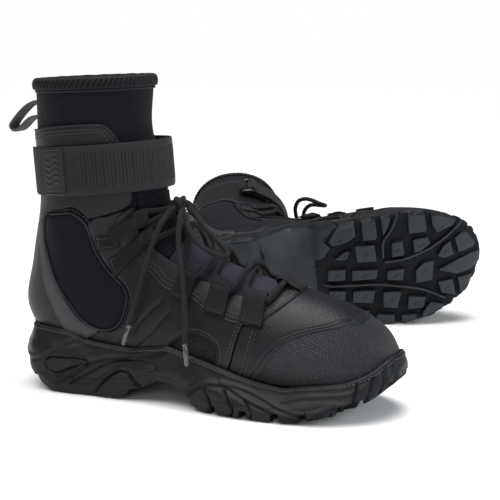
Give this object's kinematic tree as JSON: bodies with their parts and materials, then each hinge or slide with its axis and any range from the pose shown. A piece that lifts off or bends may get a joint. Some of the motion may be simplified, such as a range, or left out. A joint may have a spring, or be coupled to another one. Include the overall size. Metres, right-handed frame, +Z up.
{
  "type": "neoprene boots",
  "caption": "Pair of mid-calf neoprene water boots with lugged rubber soles, lace-up fronts and ankle straps, one standing and one lying on its side.",
  "frame": {"origin": "under the right boot's heel, on the tread's resting plane", "axes": "+Z up from the floor, +X from the right boot's heel to its toe, +Y from the standing boot to the lying boot"},
  "size_m": [0.384, 0.5296, 0.2462],
  "materials": {
    "outsole_rubber": "matt moulded rubber",
    "sidewall_rubber": "matt moulded rubber",
    "shank": "plain",
    "board": "pressed fibre",
    "insole_foam": "knit-faced foam",
    "neoprene": "knit-faced neoprene",
    "hem_binding": "bound and overlocked",
    "toe_rubber": "fine knurled texture",
    "synthetic_leather": "satin synthetic leather",
    "mesh": "open mesh",
    "stay_leather": "satin synthetic leather",
    "panel_neoprene": "padded neoprene",
    "loop_webbing": "woven webbing",
    "lace_cord": "braided round lace",
    "aglet": "gloss",
    "strap_webbing": "ribbed webbing",
    "ring_plastic": "moulded",
    "patch_rubber": "moulded relief",
    "pull_webbing": "woven webbing"
  },
  "bodies": {
    "right_boot": {"right_outsole": "outsole_rubber", "right_midsole": "sidewall_rubber", "right_shank": "shank", "right_lasting_board": "board", "right_insole": "insole_foam", "right_sleeve": "neoprene", "right_collar_hem": "hem_binding", "right_toe_cap": "toe_rubber", "right_vamp": "synthetic_leather", "right_quarter_lateral": "synthetic_leather", "right_quarter_medial": "synthetic_leather", "right_drain_mesh": "mesh", "right_heel_counter": "synthetic_leather", "right_heel_stay": "stay_leather", "right_ankle_panels": "panel_neoprene", "right_cuff": "synthetic_leather", "right_eyestay": "synthetic_leather", "right_lace_loops": "loop_webbing", "right_tongue_pad": "panel_neoprene", "right_lace": "lace_cord", "right_lace_bow": "lace_cord", "right_lace_end_a": "lace_cord", "right_lace_end_b": "lace_cord", "right_aglets": "aglet", "right_strap_base": "strap_webbing", "right_pull_loop": "pull_webbing"},
    "right_strap": {"right_strap_ring": "ring_plastic", "right_strap": "strap_webbing", "right_strap_patch": "patch_rubber"},
    "left_boot": {"left_outsole": "outsole_rubber", "left_midsole": "sidewall_rubber", "left_shank": "shank", "left_lasting_board": "board", "left_insole": "insole_foam", "left_sleeve": "neoprene", "left_collar_hem": "hem_binding", "left_toe_cap": "toe_rubber", "left_vamp": "synthetic_leather", "left_quarter_lateral": "synthetic_leather", "left_quarter_medial": "synthetic_leather", "left_drain_mesh": "mesh", "left_heel_counter": "synthetic_leather", "left_heel_stay": "stay_leather", "left_ankle_panels": "panel_neoprene", "left_cuff": "synthetic_leather", "left_eyestay": "synthetic_leather", "left_lace_loops": "loop_webbing", "left_tongue_pad": "panel_neoprene", "left_lace": "lace_cord", "left_lace_bow": "lace_cord", "left_lace_end_a": "lace_cord", "left_lace_end_b": "lace_cord", "left_aglets": "aglet", "left_strap_base": "strap_webbing", "left_pull_loop": "pull_webbing"},
    "left_strap": {"left_strap_ring": "ring_plastic", "left_strap": "strap_webbing", "left_strap_patch": "patch_rubber"}
  },
  "joints": [
    {"name": "right_strap_hinge", "type": "hinge", "parent": "right_boot", "child": "right_strap", "pos_m": [0.03793, 0.0461, 0.1793], "axis": [-0.0785, 0, 0.9969], "range_deg": [0, 100]},
    {"name": "left_boot_lift", "type": "slide", "parent": "right_boot", "child": "left_boot", "axis": [0, 0, 1], "range_m": [0, 0.3]},
    {"name": "left_strap_hinge", "type": "hinge", "parent": "left_boot", "child": "left_strap", "pos_m": [-0.00798, 0.3922, 0.11383], "axis": [0.3758, -0.9161, -0.1396], "range_deg": [0, 100]}
  ]
}
